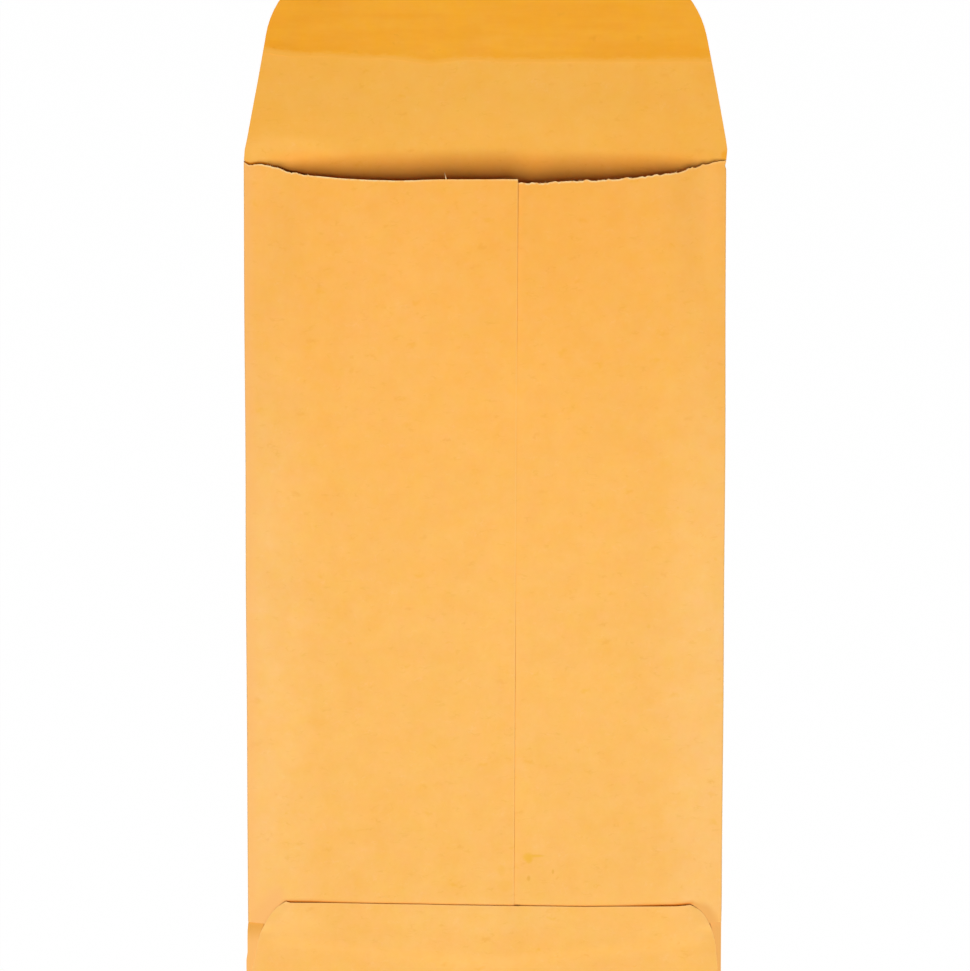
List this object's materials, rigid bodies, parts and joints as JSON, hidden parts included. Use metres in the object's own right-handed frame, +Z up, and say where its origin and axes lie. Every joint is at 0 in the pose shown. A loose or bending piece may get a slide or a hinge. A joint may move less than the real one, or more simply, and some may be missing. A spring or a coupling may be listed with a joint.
{
  "type": "paper envelope",
  "caption": "Open-end kraft paper envelope with a glued centre seam, folded bottom and an open, gummed closure flap, lying flat with its seam side up.",
  "frame": {"origin": "on the surface that the envelope lies on, under the middle of the sheet's length and width", "axes": "+X across the envelope to the right as seen from the seam side, +Y from the bottom fold to the closure flap, +Z up from the front panel to the seam side"},
  "size_m": [0.0856, 0.1874, 0.0061],
  "materials": {
    "kraft_paper": "matte kraft",
    "dry_gum": "dried gum, satin"
  },
  "bodies": {
    "root": {"paper_sheet": "kraft_paper", "seal_gum": "dry_gum"}
  },
  "joints": []
}
